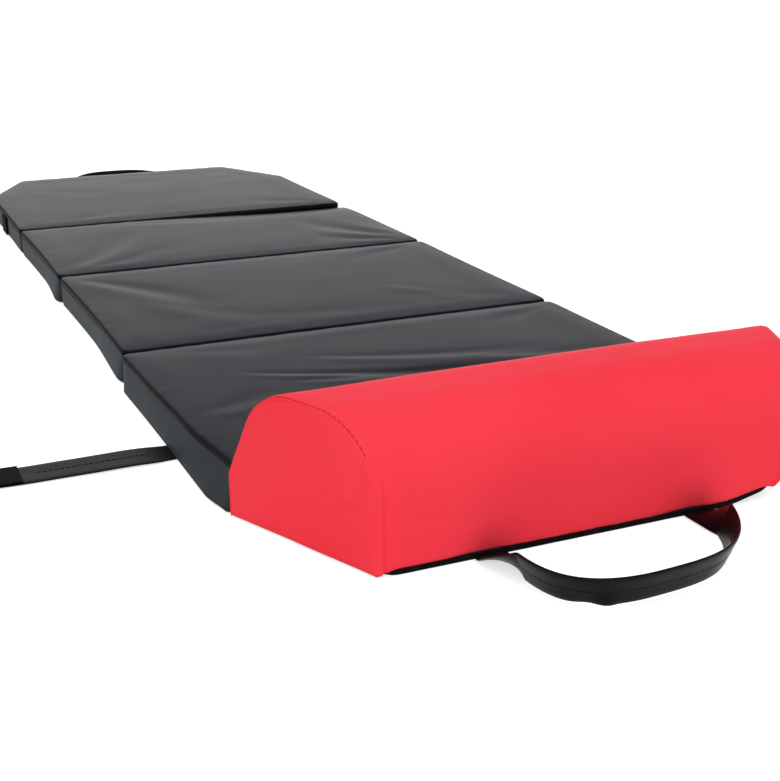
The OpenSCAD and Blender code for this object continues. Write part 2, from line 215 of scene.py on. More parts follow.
def sewing_thread(name, base, light):
    material, tree, shader, place = new_material(name, base, 0.85, IOR=1.15)
    twist = add_node(tree, "ShaderNodeTexNoise", {"Scale": per_metre(0.5)}, Vector=place).outputs["Fac"]
    paint(tree, shader, twist, 0.3, 0.7, base, light)
    bump(tree, shader, [(twist, 0.05)])
    return material


def open_cell_foam(name, base, light):
    material, tree, shader, place = new_material(name, base, 0.95)
    cells = add_node(tree, "ShaderNodeTexVoronoi", {"Scale": per_metre(1.8)},
                     Vector=place).outputs["Distance"]
    paint(tree, shader, cells, 0.1, 0.7, base, light)
    bump(tree, shader, [(cells, 0.4)])
    return material


binding = binding_tape("binding_tape_black", "#08080A", "#151517")
felt = felted_tape("hook_and_loop_tape_black", "#050506", "#0D0D0E")
black_thread = sewing_thread("sewing_thread_black", "#08080A", "#131316")
red_thread = sewing_thread("sewing_thread_red", "#A81A25", "#C4242F")
foam = open_cell_foam("polyurethane_foam_cream", "#D9C68A", "#EBDDAE")
print("materials made:", len(bpy.data.materials))

# %% [markdown]
# Pieces. Almost every sewn part is a sheet that was cut flat and bent, so it starts as a flat
# grid, and one function lays each point of the grid where the sheet goes. A second helper finishes
# the piece: it merges doubles, turns the faces outwards, gives the sheet its thickness and a body.

# %% Piece helpers
WELD = 0.00001          # points closer than this are one, m


def sheet_grid(columns, rows, place):
    """A grid whose points are laid by place(s, t), with s and t from 0 to 1."""
    bm = bmesh.new()
    bmesh.ops.create_grid(bm, x_segments=columns, y_segments=rows, size=1.0)
    for v in bm.verts:
        v.co = place((v.co.x + 1) / 2, (v.co.y + 1) / 2)
    return bm


def close_ends(bm):
    bmesh.ops.holes_fill(bm, edges=[e for e in bm.edges if e.is_boundary], sides=0)


def tube_grid(columns, rows, place, closed=True):
    """A grid whose rows close to a tube. It is welded along the tube, and closed at both ends."""
    bm = sheet_grid(columns, rows, place)
    bmesh.ops.remove_doubles(bm, verts=bm.verts, dist=WELD)
    if closed:
        close_ends(bm)
    return bm


def finish_piece(bm, name, material, body, replaces=(), thick=0.0, levels=0, weld=WELD):
    bmesh.ops.remove_doubles(bm, verts=bm.verts, dist=weld)
    bmesh.ops.recalc_face_normals(bm, faces=bm.faces)
    mesh = bpy.data.meshes.new(name)
    bm.to_mesh(mesh)
    bm.free()
    mesh.materials.append(material)
    mesh.shade_smooth()
    piece = bpy.data.objects.new(name, mesh)
    scene.collection.objects.link(piece)
    if thick:
        wall = piece.modifiers.new("thickness", "SOLIDIFY")
        wall.thickness = thick
        wall.offset = -1.0
        wall.use_rim = True
    if levels:
        smooth = piece.modifiers.new("smooth", "SUBSURF")
        smooth.levels = levels
        smooth.render_levels = levels
    if body:
        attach(piece, body)
    if replaces:
        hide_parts(*replaces)
    return piece


def bell(x):
    return math.exp(-x * x)


def smooth_step(x):
    x = min(1.0, max(0.0, x))
    return x * x * (3 - 2 * x)


def squarish(value, power):
    """A sine or cosine with its sign kept and its size raised to a power below 1, which squares a circle."""
    return math.copysign(abs(value) ** power, value)


def uneven(x, y, seed):
    """Smooth noise between about -1 and 1, the same in every run."""
    return noise.noise(Vector((x, y, seed)))


def upward(height):
    """A height in mm as an upward step in metres."""
    return Vector((0, 0, height * MM))


# %% [markdown]
# Wrinkles are what makes the cover read as sewn cloth over foam. Each is written as a crease from one
# point to another, in millimetres on its own pad, with a width, a depth and a bow. A crease is a
# groove with a low ridge on one side, and it fades out towards both ends. Near a seam the thread
# also gathers the cloth into small puckers, which a noise pattern along the edge gives.

# %% Wrinkles
def crease(x, y, x0, y0, x1, y1, width, depth, bow=0.0):
    """Height at (x, y) of a crease from (x0, y0) to (x1, y1)."""
    dx, dy = x1 - x0, y1 - y0
    length = math.hypot(dx, dy)
    along = ((x - x0) * dx + (y - y0) * dy) / (length * length)
    if along <= 0 or along >= 1:
        return 0.0
    across = ((x - x0) * dy - (y - y0) * dx) / length - bow * 4 * along * (1 - along)
    if abs(across) > 6 * width:
        return 0.0
    fade = math.sin(math.pi * along) ** 0.6
    spread = width * (0.5 + along)
    return depth * fade * (0.8 * bell((across - 1.7 * spread) / (1.2 * spread)) - bell(across / spread))


# x from the middle, y from the pad's near edge: x0, y0, x1, y1, width, depth, bow
CREASES = {
    "shoulder": [(-130, 186, 120, 118, 6, 1.5, 15), (-96, 151, 60, 128, 7, 1.2, 5),
                 (-70, 206, 130, 150, 8, 0.7, 9), (60, 150, 196, 122, 9, 0.6, 4),
                 (-195, 110, -120, 140, 10, 0.6, 5), (-196, 272, -90, 236, 10, 0.4, -4),
                 (196, 262, 100, 225, 9, 0.4, 4), (-60, 60, 90, 44, 10, 0.5, 4)],
    "back": [(-199, 262, -88, 96, 14, 1.25, -12), (-150, 150, -20, 20, 14, 0.4, 8),
             (-190, 14, -60, 30, 9, 0.4, 3), (192, 20, 60, 70, 11, 0.25, 6),
             (196, 262, 90, 215, 10, 0.5, 5), (80, 112, 160, 50, 10, 0.3, 4), (-60, 60, 60, 40, 14, 0.3, 8)],
    "hip": [(-197, 12, -92, 172, 17, 1.05, 10), (-192, 4, -70, 84, 12, 0.5, 8),
            (199, 4, 96, 62, 10, 0.8, -5), (199, 14, 108, 170, 13, 0.8, -14),
            (-120, 222, 90, 205, 11, 0.4, 5)],
    "leg": [(-190, 10, -60, 60, 13, 0.35, 6), (190, 12, 90, 70, 13, 0.35, -6),
            (-60, 316, 70, 300, 14, 0.2, 6), (150, 250, 60, 190, 14, 0.2, 5),
            (-150, 230, -60, 180, 14, 0.2, -5)],
}


def pad_relief(name, x, y, from_edge):
    """Height of the cloth above the plain crown, in mm, at a point in mm."""
    height = sum(crease(x, y, *line) for line in CREASES[name])
    seed = 10.0 * list(PADS).index(name)
    drape = uneven(x / 90, y / 70, seed)
    pucker = uneven(x / 11, y / 11, seed + 3) * math.exp(-from_edge / 7.0)
    return height * smooth_step(from_edge / 14.0) + 0.30 * drape + 0.35 * pucker


print("creases:", {name: len(lines) for name, lines in CREASES.items()})

# %% [markdown]
# A pad's plan. The frame gives each pad's box. Here its outline is worked out again, so that the
# cover can be denser than the frame's: rounded corners, long sides drawn in a little between
# them, and on the leg pad two cut-off corners.

# %% Plan of a pad
CORNER = 3.8            # corner radius, mm
SIDE_DRAW = 1.35        # how far a long side draws in, mm
RIM = 2.4               # the flat of the top sheet ends this far inside the outline, mm
CLOTH = 1.0             # thickness of the coated cloth, mm
GRID_MM = 4.5           # mesh size on the top sheets
FOOT_CUT = (55.0, 110.0)        # the leg pad's cut corners, across and along, mm
PULL_IN = 8.0           # the shoulder pad's left edge: in at its near end, mm
PULL_OUT = 3.0          # and out further on


def near_pull(pad, x, y):
    """The headrest's seam pulls the shoulder pad's left edge in at its near end, and out further on, mm."""
    if pad.name != "shoulder" or x > 0:
        return 0.0
    along = PULL_IN * smooth_step((100 - y) / 95) - PULL_OUT * smooth_step((y - 90) / 120)
    return min(-x / pad.half, 1.0) ** 2 * along


class Pad:
    def __init__(self, name):
        low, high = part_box(name + "_cover")
        self.name = name
        self.body = PADS[name]
        self.near = low.y / MM
        self.far = high.y / MM
        self.length = self.far - self.near
        self.middle = (self.near + self.far) / 2
        self.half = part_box("leg_band")[1].x / MM
        self.crown_z = high.z / MM
        self.seam_z = low.z / MM
        self.fold_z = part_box(name + "_base")[1].z / MM
        self.cut = FOOT_CUT if name == "leg" else (0.0, 1.0)

    def half_at(self, y, inset):
        """Half the width at y, mm from the near edge."""
        s = min(1.0, max(0.0, y / self.length))
        past_cut = max(0.0, (y - (self.length - self.cut[1])) / self.cut[1])
        return (self.half - self.cut[0] * past_cut) - SIDE_DRAW * 4 * s * (1 - s) - inset

    def plan(self, s, t, inset):
        """Point of the plan with the seam's pull on it."""
        x, y = self.square_plan(s, t, inset)
        return x + near_pull(self, x, y), y

    def square_plan(self, s, t, inset):
        """Point of the plan, in mm: s across and t along, both 0 to 1."""
        y = inset + t * (self.length - 2 * inset)
        half = self.half_at(y, inset)
        x = (2 * s - 1) * half
        radius = max(CORNER - inset, 1.0)
        end = min(y - inset, self.length - inset - y)
        side = half - abs(x)
        if end < radius and side < radius:
            # pull the square corner in to an arc, the more the nearer the point is to it
            a, b = radius - end, radius - side
            reach = math.hypot(a, b)
            keep = max(a, b) / reach
            sign = 1 if x > 0 else -1
            x = sign * (half - radius + b * keep)
            from_end = inset + radius - a * keep
            y = from_end if y < self.length / 2 else self.length - from_end
        return x, y


pads = {name: Pad(name) for name in PADS}
print("pads, mm:", {p.name: (round(p.near), round(p.far)) for p in pads.values()})

# %% [markdown]
# The top sheet. Its edge is turned down over the foam's edge and sewn to the side band. The grid is
# laid over the crown with its wrinkles, and its boundary is then extruded row by row round the
# edge, each row a little further out and down, which is how the real sheet bends.

# %% Top sheets
CROWN_EDGE = 2.0        # the top sheet's edge lies this far below the frame's crown, mm
CROWN = 1.1             # and its middle this much higher than its edge
CROWN_CLEAR = 0.1       # air left under the frame's crown
CROWN_SOFT = 0.6        # the cloth flattens out over this height below it
SEAM_DROP = 1.4         # how far the seams pull a pad's ends down, mm
SEAM_DROP_REACH = 4.5
HIP_DROP = 6.0          # the hip pad's far edge, at its right
HIP_DROP_REACH = 22.0
EDGE_ROWS = [(1.3, -0.25), (0.7, -0.8), (0.6, -1.5), (1.0, -2.3)]     # inset and drop from the rim, mm


def edge_ring(bm, middle):
    """The boundary's points in order round the middle."""
    ring = {v for e in bm.edges if e.is_boundary for v in e.verts}
    return sorted(ring, key=lambda v: math.atan2(v.co.y - middle * MM, v.co.x))


def outward(points):
    """The level direction that points out of a closed ring, at each of its points."""
    count = len(points)
    ways = []
    for k in range(count):
        step = points[(k + 1) % count] - points[k - 1]
        ways.append(Vector((step.y, -step.x, 0)).normalized())
    return ways


def pull_ring(bm, ring, places):
    """Extrudes a ring of points to new places, in the same order."""
    following = {v: k for k, v in enumerate(ring)}
    edges = [e for e in bm.edges if e.verts[0] in following and e.verts[1] in following]
    made = bmesh.ops.extrude_edge_only(bm, edges=edges)["geom"]
    fresh = [g for g in made if isinstance(g, bmesh.types.BMVert)]
    order = {}
    for v in fresh:
        partners = [e.other_vert(v) for e in v.link_edges if e.other_vert(v) in following]
        order[following[partners[0]]] = v
    ordered = [order[k] for k in range(len(ring))]
    for v, place in zip(ordered, places):
        v.co = place
    return ordered


def edge_drop(pad, x, y):
    """The seams pull both ends of a pad down a little. The hip pad's far edge lies lower still on the
    right, so that the leg pad's edge stands above it."""
    from_near, from_far = max(y, 0.0), max(pad.length - y, 0.0)
    drop = 0.0
    if pad.name != "shoulder":
        drop += SEAM_DROP * math.exp(-from_near / SEAM_DROP_REACH)
    if pad.name != "leg":
        drop += SEAM_DROP * math.exp(-from_far / SEAM_DROP_REACH)
    if pad.name == "hip":
        drop += HIP_DROP * smooth_step((x + 90) / 240) * math.exp(-from_far / HIP_DROP_REACH)
    return drop


def top_height(pad, x, y):
    """Height of the top sheet at a point of the plan, mm."""
    half = pad.half_at(y, RIM)
    crown = CROWN * (1 - (x / half) ** 4) * (1 - (2 * y / pad.length - 1) ** 4)
    from_edge = max(min(half - abs(x), y - RIM, pad.length - RIM - y), 0.0)
    height = pad.crown_z - CROWN_EDGE + crown + pad_relief(pad.name, x, y, from_edge)
    # the cloth may not rise past the frame's crown, where the next pad comes down on it
    soft = pad.crown_z - CROWN_CLEAR - CROWN_SOFT
    if height > soft:
        height = soft + CROWN_SOFT * (1 - math.exp(-(height - soft) / CROWN_SOFT))
    return height - edge_drop(pad, x, y)


# %% [markdown]
# The creases above say where the cloth has folded. How it lies in between comes from a short cloth
# simulation: each top sheet starts a little too low, is held all round its edge, and the foam presses
# it up from below, so that it pulls into soft tension lines between its corners and the creases.

# %% Cloth simulation
SETTLE_FRAMES = 20
SETTLE_CAP = 1.1        # mm that a point may move
CLOTH_SETTINGS = {"quality": 6, "mass": 0.3, "tension_stiffness": 25.0, "compression_stiffness": 8.0,
                  "shear_stiffness": 5.0, "bending_stiffness": 0.2, "air_damping": 3.0,
                  "vertex_group_mass": "held", "use_pressure": True, "uniform_pressure_force": 2.0}


def settle(bm):
    """Lets a sheet settle as cloth, held at its boundary, and moves its points there, within the cap."""
    held = [v.index for v in bm.verts if v.is_boundary]
    mesh = bpy.data.meshes.new("settling")
    bm.to_mesh(mesh)
    sheet = bpy.data.objects.new("settling", mesh)
    scene.collection.objects.link(sheet)
    sheet.vertex_groups.new(name="held").add(held, 1.0, "REPLACE")
    cloth = sheet.modifiers.new("cloth", "CLOTH")
    for setting, value in CLOTH_SETTINGS.items():
        setattr(cloth.settings, setting, value)
    cloth.settings.effector_weights.gravity = 0.0
    cloth.collision_settings.use_collision = False
    cloth.point_cache.frame_end = SETTLE_FRAMES
    for frame_number in range(1, SETTLE_FRAMES + 1):
        scene.frame_set(frame_number)
    settled = sheet.evaluated_get(bpy.context.evaluated_depsgraph_get()).data
    moved = [settled.vertices[v.index].co - v.co for v in bm.verts]
    bpy.data.objects.remove(sheet)
    scene.frame_set(1)
    for v, step in zip(bm.verts, moved):
        far = step.length / MM
        if far > 0:
            v.co += step * (SETTLE_CAP * math.tanh(far / SETTLE_CAP) / far)
    return max(step.length for step in moved) / MM


# %% [markdown]
# Now the four top sheets themselves, with their edges pulled down row by row.

# %% Make the top sheets
START_INSIDE = 0.12     # share of the width and length over which the start sinks in from the edge


def top_sheet(pad):
    start_low = SETTLE_CAP

    def place(s, t):
        x, y = pad.plan(s, t, RIM)
        inside = smooth_step(min(s, 1 - s, t, 1 - t) / START_INSIDE)
        return Vector((x, pad.near + y, top_height(pad, x, y) - start_low * inside)) * MM

    bm = sheet_grid(round(2 * pad.half / GRID_MM), round(pad.length / GRID_MM), place)
    print(pad.name, "cloth moved by up to", round(settle(bm), 2), "mm")
    for v in bm.verts:
        v.co.z = min(v.co.z, (pad.crown_z - CROWN_CLEAR) * MM)
    ring = edge_ring(bm, pad.middle)
    rim = [v.co.copy() for v in ring]
    out = outward(rim)
    for inset, drop in EDGE_ROWS:
        places = [p + (RIM - inset) * MM * n + upward(drop) for p, n in zip(rim, out)]
        ring = pull_ring(bm, ring, places)
    rims[pad.name] = ([p + RIM * MM * n for p, n in zip(rim, out)], out)
    piece = finish_piece(bm, pad.name + "_top_sheet", black_vinyl, pad.body,
                         [pad.name + "_cover"], thick=CLOTH * MM, levels=1)
    return piece


rims = {}       # by pad: the points of its outline, and their outward directions
tops = [top_sheet(pad) for pad in pads.values()]
print("top sheets:", [(o.name, len(o.data.polygons)) for o in tops])

# %% [markdown]
# The side band is one long strip round the pad. It bulges a little between its two seams, and
# the thread gathers it, so small upright puckers run down from the top seam. The base sheet closes
# the pad underneath, with its edge turned up to meet the band.

# %% Side bands and base sheets
BAND_ROWS = 7
END_LIFT = 5.0          # how far the base sheet's corners curl up at a pad's near end, mm
END_LIFT_REACH = 13.0
SIDE_SWELL = 7.0        # how far the foot of the shoulder pad's long sides stands out, mm
LEAST_SWELL = 1.5       # and at its ends
FOLD_SWELL = 4.2        # the back and hip pads, where no strap lies
STRAP_HALF = 18.0       # room kept for a strap on each side of its line
# the base sheet's rows: inset and share of the height on its turned-up edge, then size and share of the lift
BASE_TURN = [(0.3, 1.0), (0.6, 0.55), (1.6, 0.2), (3.2, 0.0)]
BASE_FLAT = [(0.93, 0.4), (0.8, 0.0), (0.5, 0.0), (0.2, 0.0)]


def flat(p):
    """The point straight below p on the floor."""
    return Vector((p.x, p.y, 0))


def end_lift(pad, y):
    """How far the lower edge curls up near the pad's near end."""
    if pad.name == "shoulder":
        return 0.0
    reach = max(0.0, 1 - (y / MM - pad.near) / END_LIFT_REACH)
    return END_LIFT * (1 - math.sqrt(max(0.0, 1 - reach * reach)))


strap_lines = {}        # by pad: where a strap crosses it when the mat is folded
strap_low, strap_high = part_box("left_strap")
crossing = (strap_low.y + strap_high.y) / 2 / MM
in_order = list(pads.values())
for near, far in zip(in_order, in_order[1:]):
    crossing = near.far + far.near - crossing      # mirrored in the fold between the two pads
    strap_lines[far.name] = crossing
print("the straps cross the folded pads at y, mm:", {k: round(v) for k, v in strap_lines.items()})


def side_swell(pad, p, n):
    """How far the foot of a long side stands outside its top seam: the base is cut wider than the top."""
    if pad.name == "leg":
        return 0.0
    y = p.y / MM - pad.near
    if pad.name in strap_lines:
        room = strap_lines[pad.name] - STRAP_HALF - pad.near
        return n.x * n.x * FOLD_SWELL * smooth_step(1 - y / room) * smooth_step((y + 6) / 24)
    ends = smooth_step(y / 38) * smooth_step((pad.length - y) / 18)
    return n.x * n.x * (near_pull(pad, p.x / MM, y) + LEAST_SWELL + (SIDE_SWELL - LEAST_SWELL) * ends)


def seam_height(pad, p):
    """Height of the seam between top sheet and side band at a point of the outline, mm."""
    return pad.seam_z - edge_drop(pad, p.x / MM, p.y / MM - pad.near)


def band_point(pad, p, n, h):
    """Point of the side band: h is 0 at the base seam and 1 at the top seam."""
    low = pad.fold_z + end_lift(pad, p.y)
    gather = uneven(p.x * 90, p.y * 90, 10.0 * list(PADS).index(pad.name)) * math.sin(math.pi * h)
    bulge = min(-0.3 + 0.55 * math.sin(math.pi * h) ** 0.7 + 0.35 * gather, 0.4)
    bulge += side_swell(pad, p, n) * (1 - h)
    return flat(p) + n * bulge * MM + upward(low + (seam_height(pad, p) - low) * h)


def ring_mesh(points):
    bm = bmesh.new()
    bmesh.ops.create_circle(bm, segments=len(points), radius=1.0)
    bm.verts.ensure_lookup_table()
    for v, p in zip(bm.verts, points):
        v.co = p
    return bm, list(bm.verts)


def stacked_rings(rows):
    """A wall through rows of points, with its first and last ring."""
    bm, first = ring_mesh(rows[0])
    ring = first
    for row in rows[1:]:
        ring = pull_ring(bm, ring, row)
    return bm, first, ring


def side_band(pad):
    points, out = rims[pad.name]
    bm, _, _ = stacked_rings([[band_point(pad, p, n, 1 - r / BAND_ROWS) for p, n in zip(points, out)]
                              for r in range(BAND_ROWS + 1)])
    # The side band takes the lighter painted copy of the black cloth: painted light on the upright side.
    return finish_piece(bm, pad.name + "_side_band", side_vinyl_painted_light, pad.body,
                        [pad.name + "_band"], thick=CLOTH * MM, levels=1)


def base_sheet(pad):
    points, out = rims[pad.name]
    rows = []
    for inset, rise in BASE_TURN:
        rows.append([flat(p) + n * (side_swell(pad, p, n) - inset) * MM
                     + upward(rise * pad.fold_z + end_lift(pad, p.y) * (0.3 + 0.7 * rise))
                     for p, n in zip(points, out)])
    foot, centre = rows[-1], Vector((0, pad.middle * MM, 0))
    for share, lift in BASE_FLAT:
        rows.append([centre.lerp(flat(p), share) + Vector((0, 0, p.z * lift)) for p in foot])
    bm, _, ring = stacked_rings(rows)
    bmesh.ops.contextual_create(bm, geom=ring)
    # The base sheet takes the same lighter painted copy of the black cloth: painted light.
    return finish_piece(bm, pad.name + "_base_sheet", side_vinyl_painted_light, pad.body,
                        [pad.name + "_base"], thick=CLOTH * MM)


bands = [side_band(pad) for pad in pads.values()]
bases = [base_sheet(pad) for pad in pads.values()]
print("bands and bases:", [(o.name, len(o.data.polygons)) for o in bands + bases])

# %% [markdown]
# The seam between top sheet and side band. The two raw edges are turned in and stitched, which
# leaves a rolled edge all round the pad. It is a narrow ring with a rounded section, a few millimetres
# high, painted near black as the shade under the turned-over top sheet, and a row of stitches lies in its
# groove.

# %% Seam rolls and stitches
ROLL_HEIGHT = 5.6       # mm
ROLL_STEPS = 8
STITCH_LOW = 3.4        # the stitches lie this far below the seam
STITCH_PITCH = 5.0      # mm from one stitch to the next
STITCH_LENGTH = 3.4
THREAD_RADIUS = 0.35


def seam_roll(pad):
    points, out = rims[pad.name]

    def section(p, n, a):
        away = -0.5 + 1.35 * squarish(math.cos(a), 0.8)
        return flat(p) + n * away * MM + upward(seam_height(pad, p) + 0.3 + 0.5 * ROLL_HEIGHT * math.sin(a))

    bm, _, _ = stacked_rings([[section(p, n, 2 * math.pi * k / ROLL_STEPS) for p, n in zip(points, out)]
                              for k in range(ROLL_STEPS + 1)])
    # Painted near black: painted shade under the turned-over edge of the top sheet.
    return finish_piece(bm, pad.name + "_seam_roll_painted_shade", painted_shade_vinyl, pad.body, levels=1)


def along_path(points, pitch, closed):
    """Places every pitch along a path, each with its direction."""
    loop = points + points[:1] if closed else points
    left = pitch / 2
    places = []
    for a, b in zip(loop, loop[1:]):
        length = (b - a).length
        while left < length:
            places.append((a.lerp(b, left / length), (b - a).normalized()))
            left += pitch
        left -= length
    return places


def stitch_row(name, paths, material, body,
               pitch=STITCH_PITCH, length=STITCH_LENGTH, radius=THREAD_RADIUS):
    """Short round stitches along each path; a path is (points, closed)."""
    bm = bmesh.new()
    for points, closed in paths:
        for place, way in along_path(points, pitch * MM, closed):
            turn = way.to_track_quat("Z", "Y").to_matrix().to_4x4()
            bmesh.ops.create_cone(bm, cap_ends=True, segments=6, radius1=radius * MM, radius2=radius * MM,
                                  depth=length * MM, matrix=Matrix.Translation(place) @ turn)
    return finish_piece(bm, name, material, body, weld=WELD / 10)


def pad_stitches(pad):
    points, out = rims[pad.name]
    path = [flat(p) - n * 0.05 * MM + upward(seam_height(pad, p) - STITCH_LOW) for p, n in zip(points, out)]
    return stitch_row(pad.name + "_stitches", [(path, True)], black_thread, pad.body)


rolls = [seam_roll(pad) for pad in pads.values()]
stitches = [pad_stitches(pad) for pad in pads.values()]
print("seam rolls:", [o.name for o in rolls], "stitch faces:", sum(len(o.data.polygons) for o in stitches))

# %% [markdown]
# The foam blocks fill the covers. Nobody sees them until a cover is opened, but they are real pieces:
# a slab cut to the pad's outline, with its edges eased so that it slides into the cover.

# %% Foam blocks
def foam_block(pad):
    points, out = rims[pad.name]
    lower = CLOTH + 0.4
    upper = pad.crown_z - 6.0 - edge_drop(pad, pad.half, pad.length)
    rows = [(6.5, lower + 1.2), (4.0, lower + 4.0), (2.0, lower + 9.0),
            (2.0, upper - 6.0), (4.5, upper - 1.2), (8.0, upper)]       # inset and height, mm
    bm, first, last = stacked_rings([[flat(p) - n * inset * MM + upward(z) for p, n in zip(points, out)]
                                     for inset, z in rows])
    for ring in (last, first):
        bmesh.ops.contextual_create(bm, geom=ring)
    return finish_piece(bm, pad.name + "_foam_block", foam, pad.body, [pad.name + "_foam"])


blocks = [foam_block(pad) for pad in pads.values()]
print("foam blocks:", [(o.name, len(o.data.polygons)) for o in blocks])

# %% [markdown]
# The headrest's side profile is a wall at the back, a straight slope, a broad arc over the top and a
# wall at the front. It is drawn once as a path, and its points are taken evenly along its length,
# so that the grid on it has even squares.

# %% Headrest profile
REST_BACK_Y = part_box("headrest_foam")[1].y / MM + 1.2
REST_DEPTH = 118.0
REST_HEIGHT = 94.0
BACK_WALL = 31.0
BACK_ARC = (54.0, 54.0, 40.0)       # centre in front of the back wall, centre height, radius
FRONT_ARC = (74.0, 50.0, 44.0)
REST_TAPER = 50.0
REST_HALF = 200.0
REST_FOOT = 3.2                     # the cover starts above the binding
TANGENT = math.degrees(math.atan2(BACK_WALL - BACK_ARC[1], BACK_ARC[0])) + math.degrees(
    math.acos(BACK_ARC[2] / math.hypot(BACK_ARC[0], BACK_WALL - BACK_ARC[1])))


def arc(centre_x, centre_y, radius, first, last, steps):
    """Points on an arc over the top: degrees 0 is the back, 90 the top and 180 the front."""
    angles = [math.radians(first + (last - first) * k / steps) for k in range(steps + 1)]
    return [(centre_x - radius * math.cos(a), centre_y + radius * math.sin(a)) for a in angles]


def straight(start, end, steps):
    """Points on a line, without its end."""
    return [(start[0] + (end[0] - start[0]) * k / steps, start[1] + (end[1] - start[1]) * k / steps)
            for k in range(steps)]


def profile_path(low):
    """The profile from the foot of the back wall to the foot of the front, as (depth, height) in mm."""
    back = arc(*BACK_ARC, TANGENT, 90, 12)
    front = arc(*FRONT_ARC, 90, 180, 16)
    return (straight((0.0, low), (0.0, BACK_WALL), 6) + straight((0.0, BACK_WALL), back[0], 8) + back
            + front + straight(front[-1], (REST_DEPTH, low), 9)[1:] + [(REST_DEPTH, low)])


def even_points(path, count):
    """count + 1 points spaced evenly along a path of pairs, each with its outward direction."""
    lengths = [0.0]
    for a, b in zip(path, path[1:]):
        lengths.append(lengths[-1] + math.hypot(b[0] - a[0], b[1] - a[1]))
    made = []
    k = 0
    for i in range(count + 1):
        want = lengths[-1] * i / count
        while k < len(path) - 2 and lengths[k + 1] < want:
            k += 1
        f = (want - lengths[k]) / (lengths[k + 1] - lengths[k])
        a, b = path[k], path[k + 1]
        made.append((a[0] + (b[0] - a[0]) * f, a[1] + (b[1] - a[1]) * f))
    facing = []
    for i in range(count + 1):
        a, b = made[max(i - 1, 0)], made[min(i + 1, count)]
        size = math.hypot(b[0] - a[0], b[1] - a[1])
        facing.append((-(b[1] - a[1]) / size, (b[0] - a[0]) / size))
    return made, facing


# the front right corner of the foot has curled in and up a little, mm
CURL_IN, CURL_UP, CURL_HEIGHT = 14.0, 6.5, 42.0


def rest_place(across, depth, height):
    """A point of the headrest, given in mm from its middle, its back and the floor, in metres."""
    corner = smooth_step((across - 90) / 60) * smooth_step((depth - 60) / 58)
    low = min(1.0, max(0.0, 1 - height / (0.7 * CURL_HEIGHT)))
    inward = CURL_IN * corner * (1 - math.sqrt(1 - low * low))
    lift = CURL_UP * corner * smooth_step(1 - height / CURL_HEIGHT)
    return Vector((across - inward, REST_BACK_Y - depth, height + lift)) * MM


REST_ROWS = 64
rest_profile, rest_facing = even_points(profile_path(REST_FOOT), REST_ROWS)
print("headrest tangent at", round(TANGENT, 1), "degrees; profile points", len(rest_profile))

# %% [markdown]
# The headrest cover. It is filled tight, so it bulges between its ends, rolls in at both end
# seams, and is pulled in where the handle is sewn under its front edge. The dents and creases
# are placed in millimetres across the front, measured from the middle and from the floor.

# %% Headrest cover
REST_COLUMNS = 60       # between the end seams' own, closer columns, which lie this far from the end, mm:
NEAR_SEAM = [0.0, 0.5, 1.1, 1.8, 2.6, 3.6, 4.7, 5.4, 6.0, 6.5, 7.0, 7.6, 8.3, 9.6, 11.6, 14.5, 18.5]
# across, height, width, height of the mark, depth: soft dents in the front
DENTS = [(-78, 3, 20, 13, 1.6), (-88, 28, 26, 15, 0.5), (66, 4, 20, 13, 1.9), (50, 32, 34, 15, 0.6),
         (0, 20, 40, 14, 0.6), (110, 60, 40, 18, 0.5)]
# creases on the front: from (across, height) to (across, height), width, depth, bow
REST_CREASES = [(-156, 40, -100, 30, 2.6, 1.5, 2), (156, 52, 116, 24, 3.5, 1.2, 2),
                (158, 34, 126, 14, 3.0, 0.9, -2)]
END_FOOT = 0.5          # the red cloth comes down to the floor at the ends, and to the binding between them
FOOT_REACH = 14.0
FOOT_BEND = 20.0        # the cover's lowest part, which follows the foot
TOP_STITCH = 6.5        # distance of the top-stitched groove from the end seam


def half_at_depth(depth):
    return REST_HALF - REST_TAPER * depth / REST_DEPTH


def rest_relief(across, depth, height):
    """Dents and creases of the cover: almost none on its back part, mm."""
    if depth < REST_DEPTH * 0.6:
        return 0.25 * uneven(across / 60, depth / 30, 50)
    relief = 0.3 * uneven(across / 55, height / 30, 40)
    for x, z, wide, tall, deep in DENTS:
        relief -= deep * bell((across - x) / wide) * bell((height - z) / tall)
    for line in REST_CREASES:
        relief += crease(across, height, *line)
    return relief


def rest_across(s, half):
    """Distance from the middle of the column at share s, mm: close columns at both ends."""
    last = REST_COLUMNS + 2 * len(NEAR_SEAM) - 2
    column = round(s * last)
    side = -1 if column < last / 2 else 1
    column = min(column, last - column)
    if column < len(NEAR_SEAM):
        return side * (half - NEAR_SEAM[column])
    return side * (half - NEAR_SEAM[-1]) * (1 - (column - len(NEAR_SEAM) + 1) / (REST_COLUMNS / 2))


def rest_cover_point(s, t):
    i = min(REST_ROWS, max(0, round(t * REST_ROWS)))
    (depth, height), (face_depth, face_height) = rest_profile[i], rest_facing[i]
    half = half_at_depth(depth) - 0.6
    across = rest_across(s, half)
    from_end = half - abs(across)
    tight = 1.5 * (1 - abs(across / half) ** 3) * smooth_step(height / 20)
    groove = (0.5 + 0.8 * smooth_step((76 - height) / 40)) * bell(from_end - TOP_STITCH)
    out = 0.9 - 2.6 * math.exp(-from_end / 1.6) - groove - 0.9 * smooth_step(from_end / 30)
    out += (tight + rest_relief(across, depth, height)) * smooth_step(from_end / 20)
    if depth < 20 and height < 60:
        out = min(out, 0.2)        # nothing bulges into the shoulder pad
    depth, height = depth + face_depth * out, height + face_height * out
    if height < FOOT_BEND:
        edge = REST_FOOT + 0.7 * uneven(across / 14, depth / 14, 30)
        foot = END_FOOT + (edge - END_FOOT) * smooth_step(from_end / FOOT_REACH)
        height = foot + (height - REST_FOOT) * (FOOT_BEND - foot) / (FOOT_BEND - REST_FOOT)
    return rest_place(across, depth, height)


